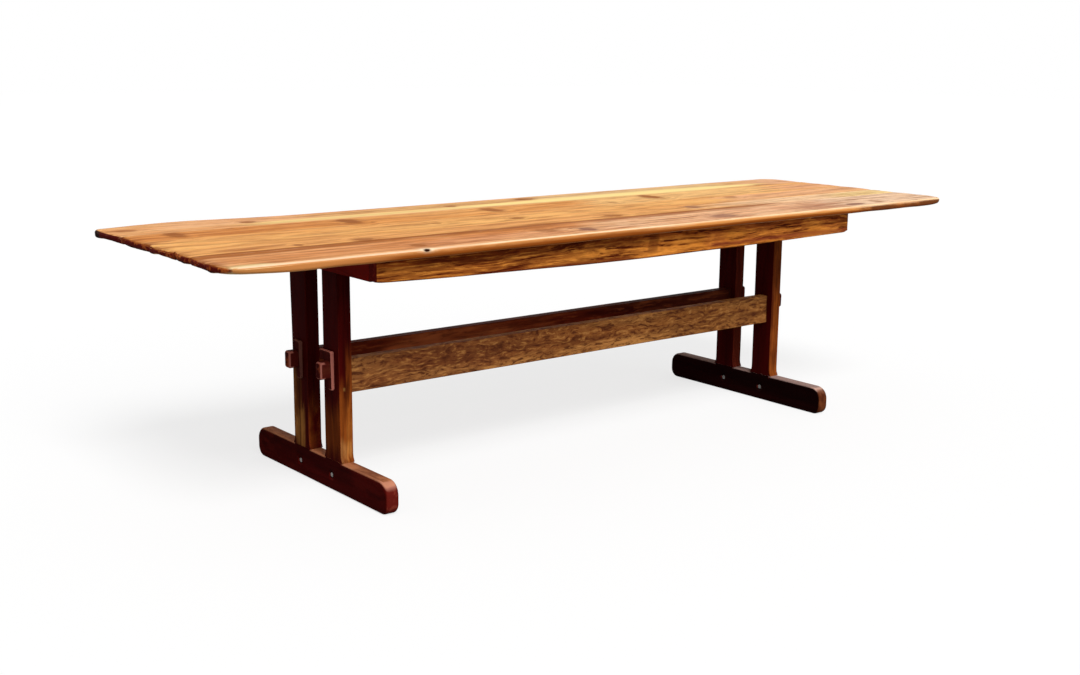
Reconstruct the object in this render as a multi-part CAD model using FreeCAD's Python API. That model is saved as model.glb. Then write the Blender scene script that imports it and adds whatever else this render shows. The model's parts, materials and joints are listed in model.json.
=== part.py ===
import FreeCAD, Part
import os
from FreeCAD import Vector

# Trestle dining table, in millimetres.
# X runs along the table, Y across it from front to rear, Z up from the floor.
# The origin is on the floor, under the middle of the top's outline.

# ---------------------------------------------------------------- the top
table_height = 760.0
top_length = 2920.0
plank_thickness = 25.0
# Each plank, from front to rear: its name, its width, and how far its left and
# right ends stop short of the top's full length.
planks = (
    ("plank_front", 225.0, 0.0, 7.0),
    ("plank_mid_front", 120.0, 9.0, 13.0),
    ("plank_centre", 150.0, 4.0, 3.0),
    ("plank_mid_rear", 200.0, 11.0, 0.0),
    ("plank_rear", 192.0, 6.0, 9.0),
)
end_crown = 7.0             # each plank's end is worn to a shallow arc this deep
# The top's outer corners, seen from above: the left one, then the right one.
front_corner_radii = (60.0, 35.0)
rear_corner_radii = (20.0, 65.0)
arris_round = 9.0           # the outer edges, above
under_round = 9.0           # and below
seam_ease = 1.5             # the edges along each seam
# The rear edge is the tree's own edge: it swells out near the left end.
swell = 50.0
swell_peak = 275.0          # from the left end of the rear plank
swell_end = 700.0
swell_start = 15.0          # how far it already stands out at the corner
swell_shoulder = 180.0      # from the peak, on its longer side
swell_shoulder_out = 27.0

# Loose tongues in stopped grooves hold the planks flush with each other.
tongue_width = 22.0
tongue_thickness = 6.0
tongue_stop = 90.0          # from the shorter plank's end to the groove's end

# ---------------------------------------------------------------- the frame under the top
frame_length = 1956.0       # over the outer faces of the two bearers
frame_depth = 800.0         # over the front and rear aprons
left_overhang = 458.0       # from the top's left end to the frame
front_overhang = 47.0       # from the top's front edge to the front apron
apron_thickness = 40.0
# The aprons' lower edge is a natural, bowed one: its depth at evenly spaced places
# from the left end to the right end.
apron_depths = (63.0, 71.0, 75.5, 80.0, 82.0, 80.5, 79.0, 76.0, 73.0)
apron_ease = 5.0
bearer_width = 108.0
bearer_height = 65.0
bearer_ease = 4.0
batten_width = 80.0
batten_height = 40.0
frame_tenon_length = 20.0   # bearers and batten are housed this deep in the aprons
frame_tenon_height = 24.0
frame_tenon_shoulder = 14.0 # each side, in from the bearer's or batten's width
frame_tenon_drop = 8.0      # from the underside of the top to the tenon

# ---------------------------------------------------------------- the trestles
post_thickness = 44.0       # along X
post_width = 89.0           # along Y
post_gap = 97.5             # between the two posts of a trestle
post_setback = 36.0         # from the bearer's outer face to the post's, if centred
trestle_shift = -6.0        # the trestles' midpoint, along the table from the frame's
post_ease = 3.0
foot_length = 771.0
foot_height = 97.0
foot_heel_radius = 32.0
foot_shoulder_radius = 42.0
foot_ease = 9.0
post_tenon_thickness = 20.0
post_tenon_width = 60.0
foot_tenon_length = 70.0
bearer_tenon_length = 40.0
peg_diameter = 9.0
peg_height = 20.0           # above the bearer's underside
peg_cover = 20.0            # wood left between a peg's end and the bearer's outer face

# ---------------------------------------------------------------- the stretchers and their keys
stretcher_bottom = 298.0
stretcher_height = 102.0
stretcher_thickness = 40.0
stretcher_ease = 4.0
tenon_height = 53.0         # flush with the stretcher's upper edge
tenon_cheek = 4.0           # taken off each face of the stretcher
tenon_projection = 43.5     # past the post's outer face
tenon_edge_round = 9.0
tenon_nose_round = 7.0
key_thickness = 9.5         # at the foot of the key
key_taper = 2.5             # how much thicker it is at the top
key_notch_depth = 15.0      # cut into the tenon's front cheek
key_proud = 1.5             # how far the key stands in front of the tenon
key_drop = 34.0             # how far the stem reaches below the tenon
key_head_height = 28.7
key_head_widths = {"front": 60.0, "rear": 34.0}
key_ease = 1.5

# ---------------------------------------------------------------- fasteners
screw_length = 45.0
screw_diameter = 4.5
screw_head_diameter = 8.5
screw_head_height = 3.0
screw_point_length = 4.5
screw_pocket_diameter = 11.0
screw_cover = 10.0          # wood left between a screw's point and the table's surface
bearer_screw_spacing = 64.0
batten_screw_spacing = 40.0
apron_screw_places = (-750.0, -450.0, -150.0, 150.0, 450.0, 750.0)
bolt_diameter = 8.0
bolt_height = 48.0
left_bolt_setback = 13.0    # behind the middle of each post
right_bolt_setback = 1.5
bolt_head_across = 13.0
bolt_head_height = 5.3
nut_height = 6.5
washer_diameter = 18.0
washer_thickness = 1.6
bolt_pocket_diameter = 22.0
bolt_pocket_depth = 9.0
bolt_thread_past_nut = 1.0

# ---------------------------------------------------------------- clearances
fit = 0.3                   # between a tenon or a key and its mortise or notch, on each side
hole_fit = 0.2              # between a round pin and its hole, on the radius
bite = 1.0                  # how far a cutting or joining body runs past the face it meets
near = 0.01                 # how close two places are that count as the same

# ---------------------------------------------------------------- derived places
top_underside = table_height - plank_thickness
top_depth = sum(plank[1] for plank in planks) + swell
top_left = -top_length / 2
top_front = -top_depth / 2
frame_left = top_left + left_overhang
frame_front = top_front + front_overhang
frame_x = frame_left + frame_length / 2
trestle_x = frame_x + trestle_shift
frame_y = frame_front + frame_depth / 2
bearer_underside = top_underside - bearer_height
bearer_reach = frame_length / 2 - bearer_width / 2
post_outer = frame_length / 2 - post_setback
post_inner = post_outer - post_thickness
post_reach = post_outer - post_thickness / 2
post_offset = (post_gap + post_width) / 2
tenon_thickness = stretcher_thickness - 2 * tenon_cheek
stretcher_top = stretcher_bottom + stretcher_height
tenon_bottom = stretcher_top - tenon_height
key_foot = tenon_bottom - key_drop
key_height = key_drop + tenon_height + key_head_height
screw_tip = table_height - screw_cover
screw_seat = screw_tip - screw_length
inner_front = frame_front + apron_thickness
inner_rear = frame_front + frame_depth - apron_thickness
along = Vector(1, 0, 0)
across = Vector(0, 1, 0)
up = Vector(0, 0, 1)
trestles = {"left": -1, "right": 1}
rows = {"front": -1, "rear": 1}
bolt_setbacks = {trestles["left"]: left_bolt_setback, trestles["right"]: right_bolt_setback}


# ---------------------------------------------------------------- helpers
def span(middle, width):
    """The two ends of a width about its middle."""
    return (middle - width / 2, middle + width / 2)


def block(x, y, z):
    """A box between two places on each axis."""
    low = Vector(min(x), min(y), min(z))
    return Part.makeBox(abs(x[1] - x[0]), abs(y[1] - y[0]), abs(z[1] - z[0]), low)


def cylinder(diameter, start, length, axis):
    """A round bar of a length, from its start along an axis."""
    return Part.makeCylinder(diameter / 2, length, Vector(start), axis)


def edges_where(shape, test):
    """The edges whose middle point and direction pass a test."""
    found = []
    for edge in shape.Edges:
        middle = edge.valueAt((edge.FirstParameter + edge.LastParameter) / 2)
        if test(edge, middle):
            found.append(edge)
    return found


def runs_along(edge, axis):
    """Whether an edge is straight and lies along an axis."""
    if len(edge.Vertexes) != 2:
        return False
    run = edge.Vertexes[1].Point - edge.Vertexes[0].Point
    return run.Length > 0 and abs(run.dot(axis)) > 0.999 * run.Length


def ease_along(shape, axis, radius):
    """Round every straight edge of a plain block that lies along an axis."""
    return shape.makeFillet(radius, edges_where(shape, lambda edge, middle: runs_along(edge, axis)))


def save(name, shape):
    """Write one sub-part."""
    shape.exportStep("parts/" + name + ".step")


# ---------------------------------------------------------------- the top
def plank_outline(index, y0, y1):
    """A plank seen from above: straight sides, and ends worn to shallow arcs."""
    left_short, right_short = planks[index][2:]
    z = top_underside
    left = top_left + left_short
    right = top_left + top_length - right_short
    middle = (y0 + y1) / 2
    left_front = Vector(left + end_crown, y0, z)
    right_front = Vector(right - end_crown, y0, z)
    right_rear = Vector(right - end_crown, y1, z)
    left_rear = Vector(left + end_crown, y1, z)
    sides = [
        Part.LineSegment(left_front, right_front).toShape(),
        Part.Arc(right_front, Vector(right, middle, z), right_rear).toShape(),
    ]
    if index == len(planks) - 1:
        left_rear.y += swell_start
        swell_stop = Vector(left + swell_end, y1, z)
        sides.append(Part.LineSegment(right_rear, swell_stop).toShape())
        sides.append(live_edge(left, y1, z, swell_stop, left_rear))
    else:
        sides.append(Part.LineSegment(right_rear, left_rear).toShape())
    sides.append(Part.Arc(left_rear, Vector(left, middle, z), left_front).toShape())
    return Part.Face(Part.Wire(sides))


def live_edge(left, y, z, stop, corner):
    """The swelling of the rear edge, from where it starts back to the left corner."""
    peak = Vector(left + swell_peak, y + swell, z)
    shoulder = Vector(left + swell_peak + swell_shoulder, y + swell_shoulder_out, z)
    back = Vector(-1, 0, 0)
    slope = (peak - shoulder).normalize()
    fall = (corner - peak).normalize()
    curve = Part.BSplineCurve()
    curve.interpolate(
        Points=[stop, shoulder, peak, corner],
        Tangents=[back, slope, back, fall],
        TangentFlags=[True, False, True, True],
    )
    return curve.toShape()


def round_corners(solid, radii, on_side):
    """Round the left and right outer corners of a plank, seen from above."""
    for radius, side in zip(radii, trestles.values()):
        solid = solid.makeFillet(radius, edges_where(
            solid, lambda edge, m: runs_along(edge, up) and on_side(m) and side * m.x > 0))
    return solid


def make_plank(index, y0, y1):
    """One plank of the top, with its outer edges rounded and its seams eased."""
    seams = []
    solid = plank_outline(index, y0, y1).extrude(Vector(0, 0, plank_thickness))
    if index == 0:
        solid = round_corners(solid, front_corner_radii, lambda m: abs(m.y - y0) < near)
    else:
        seams.append(y0)
    if index == len(planks) - 1:
        solid = round_corners(solid, rear_corner_radii, lambda m: m.y > y1 - near)
    else:
        seams.append(y1)

    def at_seam(edge, m):
        return runs_along(edge, along) and any(abs(m.y - seam) < near for seam in seams)

    solid = solid.makeFillet(arris_round, edges_where(
        solid, lambda edge, m: abs(m.z - table_height) < near and not at_seam(edge, m)))
    solid = solid.makeFillet(under_round, edges_where(
        solid, lambda edge, m: abs(m.z - top_underside) < near and not at_seam(edge, m)))
    return solid.makeFillet(seam_ease, edges_where(
        solid, lambda edge, m: abs(m.z - table_height) < near and at_seam(edge, m)))


def plank_sides():
    """Where each plank's front and rear sides are."""
    sides = []
    y = top_front
    for plank in planks:
        sides.append((y, y + plank[1]))
        y += plank[1]
    return sides


def tongue_span(index):
    """Where the tongue between a plank and the next one starts and ends."""
    left_short = max(planks[index][2], planks[index + 1][2])
    right_short = max(planks[index][3], planks[index + 1][3])
    return (top_left + left_short + tongue_stop, top_left + top_length - right_short - tongue_stop)


def make_tongue(index, seam_y):
    """A loose tongue, lying half in each of two planks."""
    middle = top_underside + plank_thickness / 2
    start, end = tongue_span(index)
    return block((start, end), span(seam_y, tongue_width), span(middle, tongue_thickness))


def tongue_groove(index, seam_y):
    """The room for a tongue in both planks."""
    middle = top_underside + plank_thickness / 2
    start, end = tongue_span(index)
    return block(
        (start - fit, end + fit),
        span(seam_y, tongue_width + 2 * fit),
        span(middle, tongue_thickness + 2 * fit),
    )


# ---------------------------------------------------------------- screws up into the top
def screw(x, y):
    """A countersunk wood screw, point up."""
    head = Part.makeCone(screw_head_diameter / 2, screw_diameter / 2, screw_head_height,
                         Vector(x, y, screw_seat), up)
    shank_length = screw_length - screw_head_height - screw_point_length
    shank = cylinder(screw_diameter, (x, y, screw_seat + screw_head_height), shank_length, up)
    point = Part.makeCone(screw_diameter / 2, 0, screw_point_length,
                          Vector(x, y, screw_tip - screw_point_length), up)
    return head.fuse([shank, point]).removeSplitter()


def pilot_hole(x, y):
    """The hole for a screw's shank, up into the planks."""
    return cylinder(screw_diameter + 2 * hole_fit, (x, y, screw_seat), screw_length + fit, up)


def screw_hole(x, y, underside):
    """The pocket, the countersink and the pilot hole of one screw in a rail."""
    pocket = cylinder(screw_pocket_diameter, (x, y, underside - bite),
                      screw_seat - underside + bite, up)
    sink = Part.makeCone(screw_head_diameter / 2 + hole_fit, screw_diameter / 2 + hole_fit,
                         screw_head_height, Vector(x, y, screw_seat), up)
    return pocket.fuse([sink, pilot_hole(x, y)])


def screws_on(x, spacing):
    """Two screws into each plank, amid the stretch where it lies on a bearer or batten."""
    places = []
    for y0, y1 in plank_sides():
        y = (max(y0, inner_front) + min(y1, inner_rear)) / 2
        for screw_x in span(x, spacing):
            places.append((screw_x, y))
    return places


# ---------------------------------------------------------------- aprons, bearers and batten
def frame_tenons(x, width, clearance):
    """The stub tenons of a bearer or batten, front and rear, or their mortises."""
    z = (top_underside - frame_tenon_drop - frame_tenon_height - clearance,
         top_underside - frame_tenon_drop + clearance)
    wide = span(x, width - 2 * frame_tenon_shoulder + 2 * clearance)
    length = frame_tenon_length + clearance
    return [
        block(wide, (inner_front - length, inner_front + bite), z),
        block(wide, (inner_rear - bite, inner_rear + length), z),
    ]


def make_apron(face_y):
    """A side rail under the top, straight above and bowed below."""
    corner_right = Vector(frame_left + frame_length, face_y, top_underside)
    corner_left = Vector(frame_left, face_y, top_underside)
    pitch = frame_length / (len(apron_depths) - 1)
    bows = [
        Vector(frame_left + index * pitch, face_y, top_underside - depth)
        for index, depth in enumerate(apron_depths)
    ]
    bow = Part.BSplineCurve()
    bow.interpolate(bows)
    wire = Part.Wire([
        bow.toShape(),
        Part.LineSegment(bows[-1], corner_right).toShape(),
        Part.LineSegment(corner_right, corner_left).toShape(),
        Part.LineSegment(corner_left, bows[0]).toShape(),
    ])
    rail = Part.Face(wire).extrude(Vector(0, apron_thickness, 0))
    bowed = edges_where(rail, lambda edge, m: edge.Curve.TypeId == "Part::GeomBSplineCurve")
    return rail.makeFillet(apron_ease, bowed)


def make_bearer(x):
    """A cross rail on a trestle, tenoned into both aprons and mortised for the posts."""
    rail = block(span(x, bearer_width), (inner_front, inner_rear), (bearer_underside, top_underside))
    lower = edges_where(rail, lambda edge, m: (
        runs_along(edge, across) and m.z < bearer_underside + near))
    rail = rail.makeFillet(bearer_ease, lower)
    return rail.fuse(frame_tenons(x, bearer_width, 0)).removeSplitter()


def make_batten(x):
    """The cross batten that holds the planks flat between the trestles."""
    rail = block(span(x, batten_width), (inner_front, inner_rear),
                 (top_underside - batten_height, top_underside))
    return rail.fuse(frame_tenons(x, batten_width, 0)).removeSplitter()


# ---------------------------------------------------------------- trestles
def post_centre(side, row):
    return (trestle_x + side * post_reach, frame_y + row * post_offset)


def bolt_centre(side, row):
    x, y = post_centre(side, row)
    return (x, y + bolt_setbacks[side])


def foot_mortise(side, row, clearance):
    """The post's lower tenon, or the mortise for it in the foot."""
    x, y = post_centre(side, row)
    return block(
        span(x, post_tenon_thickness + 2 * clearance),
        span(y, post_tenon_width + 2 * clearance),
        (foot_height - foot_tenon_length - clearance, foot_height + bite),
    )


def bearer_mortise(side, row, clearance):
    """The post's upper tenon, or the mortise for it in the bearer."""
    x, y = post_centre(side, row)
    return block(
        span(x, post_tenon_thickness + 2 * clearance),
        span(y, post_tenon_width + 2 * clearance),
        (bearer_underside - bite, bearer_underside + bearer_tenon_length + clearance),
    )


def stretcher_tenon(side, row, clearance):
    """The through tenon at one end of a stretcher, or the mortise for it in the post."""
    x0 = trestle_x + side * (post_inner - bite)
    x1 = trestle_x + side * (post_outer + tenon_projection)
    y = frame_y + row * post_offset
    return block((x0, x1), span(y, tenon_thickness + 2 * clearance),
                 (tenon_bottom - clearance, stretcher_top + clearance))


def make_post(side, row):
    """An upright with a tenon at each end and a mortise for the stretcher."""
    x, y = post_centre(side, row)
    shaft = block(span(x, post_thickness), span(y, post_width), (foot_height, bearer_underside))
    shaft = ease_along(shaft, up, post_ease)
    post = shaft.fuse([foot_mortise(side, row, 0), bearer_mortise(side, row, 0)]).removeSplitter()
    bolt_start = (x - post_thickness / 2, bolt_centre(side, row)[1], bolt_height)
    bolt = cylinder(bolt_diameter + 2 * hole_fit, bolt_start, post_thickness, along)
    return post.cut([stretcher_tenon(side, row, fit), bolt, peg(side, row, hole_fit)])


def peg(side, row, clearance):
    """The peg that pins a post in its bearer, driven from inside, or the hole for it."""
    x, y = post_centre(side, row)
    z = bearer_underside + peg_height
    inner_face = Vector(frame_x + side * (frame_length / 2 - bearer_width), y, z)
    length = bearer_width - peg_cover + clearance
    return cylinder(peg_diameter + 2 * clearance, inner_face, length, along * side)


def make_foot(side):
    """A sleigh foot: flat below, with rounded shoulders and heels."""
    x = trestle_x + side * post_reach
    foot = block(span(x, post_thickness), span(frame_y, foot_length), (0, foot_height))
    foot = foot.makeFillet(foot_heel_radius, edges_where(
        foot, lambda edge, m: runs_along(edge, along) and m.z < near))
    foot = foot.makeFillet(foot_shoulder_radius, edges_where(
        foot, lambda edge, m: runs_along(edge, along) and m.z > foot_height - near))
    lengthwise = edges_where(foot, lambda edge, m: not runs_along(edge, along))
    foot = foot.makeFillet(foot_ease, lengthwise)
    # the upper edges stay square under the posts, whose shoulders bear on them
    seats = []
    cuts = []
    for row in rows.values():
        seat = span(post_centre(side, row)[1], post_width)
        seats.append(block(span(x, post_thickness), seat, (foot_height - foot_ease, foot_height)))
        cuts.append(foot_mortise(side, row, fit))
        cuts.extend(bolt_hole(side, row))
    return foot.fuse(seats).removeSplitter().cut(cuts)


# ---------------------------------------------------------------- foot bolts
def bolt_hole(side, row):
    """The bolt's hole through a foot, with a pocket at each face."""
    x, y = bolt_centre(side, row)
    west, east = span(x, post_thickness)
    pocket = bolt_pocket_depth + bite
    return [
        cylinder(bolt_diameter + 2 * hole_fit, (west, y, bolt_height), post_thickness, along),
        cylinder(bolt_pocket_diameter, (west - bite, y, bolt_height), pocket, along),
        cylinder(bolt_pocket_diameter, (east - bolt_pocket_depth, y, bolt_height), pocket, along),
    ]


def hexagon(x, y, z, height):
    """A hexagonal prism along X, the width of a bolt's head over its flats."""
    spoke = Vector(0, 0, bolt_head_across / 3 ** 0.5)
    turn = FreeCAD.Rotation(along, 60)
    corners = []
    for step in range(6):
        corners.append(Vector(x, y, z) + spoke)
        spoke = turn.multVec(spoke)
    return Part.Face(Part.makePolygon(corners + corners[:1])).extrude(Vector(height, 0, 0))


def bolt_places():
    """The floors of the pockets, west and east, at each foot bolt."""
    for side in trestles.values():
        for row in rows.values():
            x, y = bolt_centre(side, row)
            west, east = span(x, post_thickness)
            yield west + bolt_pocket_depth, east - bolt_pocket_depth, y


def make_bolts():
    """Hexagon-headed bolts through the feet and the posts' tenons."""
    bolts = []
    for west, east, y in bolt_places():
        seat = west - washer_thickness
        head = hexagon(seat - bolt_head_height, y, bolt_height, bolt_head_height)
        end = east + washer_thickness + nut_height + bolt_thread_past_nut
        shank = cylinder(bolt_diameter, (seat, y, bolt_height), end - seat, along)
        bolts.append(head.fuse(shank))
    return Part.makeCompound(bolts)


def make_washers():
    """A washer under each bolt head and each nut."""
    hole = bolt_diameter + 2 * hole_fit
    washers = []
    for west, east, y in bolt_places():
        for start in (west - washer_thickness, east):
            disc = cylinder(washer_diameter, (start, y, bolt_height), washer_thickness, along)
            washers.append(disc.cut(cylinder(hole, (start, y, bolt_height), washer_thickness, along)))
    return Part.makeCompound(washers)


def make_nuts():
    """The nuts on the foot bolts."""
    nuts = []
    for west, east, y in bolt_places():
        start = east + washer_thickness
        nut = hexagon(start, y, bolt_height, nut_height)
        hole = bolt_diameter + 2 * hole_fit
        nuts.append(nut.cut(cylinder(hole, (start, y, bolt_height), nut_height, along)))
    return Part.makeCompound(nuts)


# ---------------------------------------------------------------- stretchers and keys
def key_faces(side, height, clearance):
    """How far out the key's inner and outer faces are, at a height above its foot."""
    thickness = key_thickness + key_taper * height / key_height
    inner = trestle_x + side * (post_outer + fit - clearance)
    outer = trestle_x + side * (post_outer + fit + thickness + clearance)
    return inner, outer


def key_slab(side, y, bottom, top, clearance):
    """A tapered slab of the key between two heights above its foot."""
    inner0, outer0 = key_faces(side, bottom, clearance)
    inner1, outer1 = key_faces(side, top, clearance)
    corners = [
        Vector(inner0, y[0], key_foot + bottom),
        Vector(outer0, y[0], key_foot + bottom),
        Vector(outer1, y[0], key_foot + top),
        Vector(inner1, y[0], key_foot + top),
    ]
    face = Part.Face(Part.makePolygon(corners + corners[:1]))
    return face.extrude(Vector(0, y[1] - y[0], 0))


def tenon_front(row):
    """The front cheek of a stretcher's tenon."""
    return frame_y + row * post_offset - tenon_thickness / 2


def key_notch(side, row):
    """The notch in a tenon's front cheek that the key's stem slides in."""
    front = tenon_front(row)
    cut = (front - bite, front + key_notch_depth)
    return key_slab(side, cut, key_drop - bite, key_drop + tenon_height + bite, fit)


def make_key(side, row, head_width):
    """A locking key: a tapered stem in the notch, and a head that rests on the tenon."""
    front = tenon_front(row)
    stem_y = (front - key_proud, front + key_notch_depth - fit)
    head_y = (front - key_proud, front - key_proud + head_width)
    shoulder = key_drop + tenon_height + fit
    stem = key_slab(side, stem_y, 0, shoulder, 0)
    head = key_slab(side, head_y, shoulder, key_height, 0)
    key = stem.fuse(head).removeSplitter()
    rim = edges_where(key, lambda edge, m: (
        m.z > key_foot + key_height - near or m.z < key_foot + near))
    return key.makeChamfer(key_ease, rim)


def make_stretcher(row):
    """A rail between the trestles with a notched through tenon at each end."""
    y = frame_y + row * post_offset
    rail = block(span(trestle_x, 2 * post_inner), span(y, stretcher_thickness),
                 (stretcher_bottom, stretcher_top))
    rail = ease_along(rail, along, stretcher_ease)
    notches = []
    for side in trestles.values():
        tenon = stretcher_tenon(side, row, 0)
        tenon = ease_along(tenon, along, tenon_edge_round)
        nose_x = trestle_x + side * (post_outer + tenon_projection)
        tenon = tenon.makeFillet(tenon_nose_round, edges_where(
            tenon, lambda edge, m: abs(m.x - nose_x) < near))
        rail = rail.fuse(tenon)
        notches.append(key_notch(side, row))
    return rail.removeSplitter().cut(notches)


# ---------------------------------------------------------------- build
os.makedirs("parts", exist_ok=True)

bearer_xs = [frame_x + side * bearer_reach for side in trestles.values()]
bearer_screw_places = [place for x in bearer_xs for place in screws_on(x, bearer_screw_spacing)]
batten_screw_places = screws_on(frame_x, batten_screw_spacing)
apron_faces = {"front": frame_front, "rear": inner_rear}
apron_screw_sites = [(frame_x + x, face_y + apron_thickness / 2)
                     for face_y in apron_faces.values() for x in apron_screw_places]
every_screw = bearer_screw_places + batten_screw_places + apron_screw_sites

for index, (y0, y1) in enumerate(plank_sides()):
    cuts = [pilot_hole(x, y) for x, y in every_screw if y0 < y < y1]
    if index > 0:
        cuts.append(tongue_groove(index - 1, y0))
    if index < len(planks) - 1:
        cuts.append(tongue_groove(index, y1))
        save("tongue_" + str(index + 1), make_tongue(index, y1))
    save(planks[index][0], make_plank(index, y0, y1).cut(cuts))

for name, face_y in apron_faces.items():
    cuts = [screw_hole(x, y, top_underside - max(apron_depths)) for x, y in apron_screw_sites]
    for x in bearer_xs:
        cuts.extend(frame_tenons(x, bearer_width, fit))
    cuts.extend(frame_tenons(frame_x, batten_width, fit))
    save("apron_" + name, make_apron(face_y).cut(cuts))

batten_cuts = [screw_hole(x, y, top_underside - batten_height) for x, y in batten_screw_places]
save("centre_batten", make_batten(frame_x).cut(batten_cuts))
save("bearer_screws", Part.makeCompound([screw(x, y) for x, y in bearer_screw_places]))
save("batten_screws", Part.makeCompound([screw(x, y) for x, y in batten_screw_places]))
save("apron_screws", Part.makeCompound([screw(x, y) for x, y in apron_screw_sites]))

for (side_name, side), x in zip(trestles.items(), bearer_xs):
    cuts = [screw_hole(sx, sy, bearer_underside) for sx, sy in bearer_screw_places]
    for row_name, row in rows.items():
        cuts.append(bearer_mortise(side, row, fit))
        cuts.append(peg(side, row, hole_fit))
        save("post_" + side_name + "_" + row_name, make_post(side, row))
        key = make_key(side, row, key_head_widths[row_name])
        save("key_" + side_name + "_" + row_name, key)
    save("bearer_" + side_name, make_bearer(x).cut(cuts))
    save("foot_" + side_name, make_foot(side))

for row_name, row in rows.items():
    save("stretcher_" + row_name, make_stretcher(row))

save("bearer_pegs", Part.makeCompound([
    peg(side, row, 0) for side in trestles.values() for row in rows.values()]))
save("foot_bolts", make_bolts())
save("foot_bolt_washers", make_washers())
save("foot_bolt_nuts", make_nuts())
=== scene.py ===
import json
import math
import bmesh
import bpy
from mathutils import Matrix, Vector, noise

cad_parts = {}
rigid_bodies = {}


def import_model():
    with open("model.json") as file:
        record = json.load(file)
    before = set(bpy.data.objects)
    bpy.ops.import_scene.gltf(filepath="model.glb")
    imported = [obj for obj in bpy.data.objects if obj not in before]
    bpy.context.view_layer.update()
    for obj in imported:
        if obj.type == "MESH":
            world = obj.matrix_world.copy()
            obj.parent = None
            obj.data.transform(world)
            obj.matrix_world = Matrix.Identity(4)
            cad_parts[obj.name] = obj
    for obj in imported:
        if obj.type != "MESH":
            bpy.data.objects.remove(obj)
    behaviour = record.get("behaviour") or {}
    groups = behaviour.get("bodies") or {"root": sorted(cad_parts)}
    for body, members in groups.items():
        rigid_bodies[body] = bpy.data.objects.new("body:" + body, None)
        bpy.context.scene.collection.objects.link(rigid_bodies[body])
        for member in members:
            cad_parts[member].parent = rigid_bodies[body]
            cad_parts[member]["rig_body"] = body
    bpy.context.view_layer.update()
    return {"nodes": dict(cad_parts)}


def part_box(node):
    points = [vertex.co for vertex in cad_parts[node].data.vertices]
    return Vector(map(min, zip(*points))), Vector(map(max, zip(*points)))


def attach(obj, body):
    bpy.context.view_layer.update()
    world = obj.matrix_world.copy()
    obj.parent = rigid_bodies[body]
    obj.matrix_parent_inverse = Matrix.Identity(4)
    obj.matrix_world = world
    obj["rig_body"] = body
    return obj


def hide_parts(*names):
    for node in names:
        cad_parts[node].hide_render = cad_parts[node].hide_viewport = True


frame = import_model()

# The trestle dining table's looks, in metres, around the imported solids.
# X runs along the table, Y across it from front to rear, Z up from the floor.

WELD = 1e-5                 # points closer than this are one point
FLAT = math.radians(0.2)    # faces that turn less than this are one flat face
CREASE = math.radians(38)   # edges that turn more than this stay crisp
FACES = 0.3                 # a normal's share of an axis from which it counts as facing it
RIPPLE_STEP = (17.3, -5.1, 3.7)   # how far apart the ripples of two seeds in a row lie


# ---------------------------------------------------------------- small maths
def smooth(low, high, value):
    """0 before low, 1 after high, and a smooth rise between them."""
    t = min(1.0, max(0.0, (value - low) / (high - low)))
    return t * t * (3 - 2 * t)


def ripple(seed, x, y=0.0, z=0.0):
    """Smooth noise from about -1 to 1, with one bump per unit of length."""
    dx, dy, dz = RIPPLE_STEP
    return noise.noise(Vector((x + dx * seed, y + dy * seed, z + dz * seed)))


def between(pairs, value):
    """A height read off a line through (place, height) pairs, held level past its ends."""
    if value <= pairs[0][0]:
        return pairs[0][1]
    for (x0, y0), (x1, y1) in zip(pairs, pairs[1:]):
        if value <= x1:
            return y0 + (y1 - y0) * (value - x0) / (x1 - x0)
    return pairs[-1][1]


def srgb(red, green, blue):
    """A colour as it looks on a screen, 0 to 255, as the linear colour a shader takes."""
    linear = []
    for value in (red, green, blue):
        share = value / 255
        linear.append(share / 12.92 if share <= 0.04045 else ((share + 0.055) / 1.055) ** 2.4)
    return (*linear, 1.0)


# ---------------------------------------------------------------- material nodes
class Nodes:
    """A short way to write a material's nodes."""

    def __init__(self, name):
        self.material = bpy.data.materials.new(name)
        self.material.use_nodes = True
        self.tree = self.material.node_tree
        self.shader = self.tree.nodes["Principled BSDF"]

    def feed(self, socket, value):
        if isinstance(value, bpy.types.NodeSocket):
            self.tree.links.new(value, socket)
        else:
            socket.default_value = value

    def add(self, kind, inputs, **settings):
        made = self.tree.nodes.new("ShaderNode" + kind)
        for name, value in settings.items():
            setattr(made, name, value)
        for key, value in inputs.items():
            self.feed(made.inputs[key], value)
        return made

    def maths(self, operation, a, b=0.0):
        return self.add("Math", {0: a, 1: b}, operation=operation).outputs[0]

    def vector(self, operation, a, b):
        return self.add("VectorMath", {0: a, 1: b}, operation=operation).outputs["Vector"]

    def length(self, a):
        return self.add("VectorMath", {0: a}, operation="LENGTH").outputs["Value"]

    def rise(self, value, low, high):
        """0 where value is below low, 1 where it is above high."""
        return self.add("MapRange", {"Value": value, "From Min": low, "From Max": high},
                        interpolation_type="SMOOTHSTEP").outputs["Result"]

    def noise(self, place, scale, detail, rough=0.5):
        """Noise about 0.5; scale is its bumps to the metre along each axis of place."""
        stretched = self.vector("MULTIPLY", place, scale)
        return self.add("TexNoise", {"Vector": stretched, "Scale": 1.0, "Detail": detail,
                                     "Roughness": rough}).outputs["Fac"]

    def blend(self, share, a, b):
        """Colour a, and colour b as far as share goes from 0 to 1."""
        return self.add("Mix", {0: share, 6: a, 7: b}, data_type="RGBA").outputs[2]

    def times(self, *values):
        product = values[0]
        for value in values[1:]:
            product = self.maths("MULTIPLY", product, value)
        return product


def facing(n, side, low=0.35, high=0.75):
    """1 where the surface looks to one side, such as "-Y", or to both, such as "X"."""
    parts = n.add("SeparateXYZ", {0: n.add("NewGeometry", {}).outputs["Normal"]}).outputs
    turn = parts[side[-1]]
    if len(side) == 1:
        turn = n.maths("ABSOLUTE", turn)
    elif side[0] == "-":
        turn = n.times(turn, -1.0)
    return n.rise(turn, low, high)


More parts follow.
